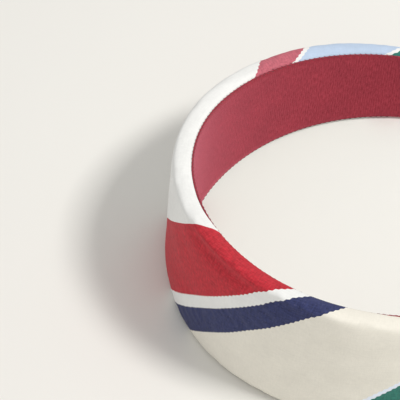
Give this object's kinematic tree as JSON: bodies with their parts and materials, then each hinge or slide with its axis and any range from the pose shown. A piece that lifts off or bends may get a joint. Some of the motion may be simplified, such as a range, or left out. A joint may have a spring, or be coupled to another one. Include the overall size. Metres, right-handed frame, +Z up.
{
  "type": "padded headband",
  "caption": "Wide padded hair band: a rigid open hoop wrapped in striped cloth, tapering to its tips, with a ribbon lining on the inside.",
  "frame": {"origin": "on the surface that the band lies on, in the middle of its overall width and depth", "axes": "+X across the band from arm to arm, +Y from the crown towards the two tips, +Z up from the edge it lies on"},
  "size_m": [0.1464, 0.1396, 0.0517],
  "materials": {
    "striped_cloth": "fine woven cloth with broad slanting stripes of white, red, navy, cream, pale blue and teal",
    "lining_ribbon": "dark red ribbed ribbon, slightly napped",
    "sewing_thread": "dark red twisted thread",
    "core_plastic": "satin white flexible plastic",
    "pad_foam": "matt open-cell sponge",
    "adhesive_tape": "satin translucent tape"
  },
  "bodies": {
    "root": {"core_band": "core_plastic", "foam_pad": "pad_foam", "pad_tape": "adhesive_tape", "striped_cover": "striped_cloth", "lining_tape": "adhesive_tape", "lining_ribbon": "lining_ribbon", "upper_edge_stitches": "sewing_thread", "lower_edge_stitches": "sewing_thread"}
  },
  "joints": []
}
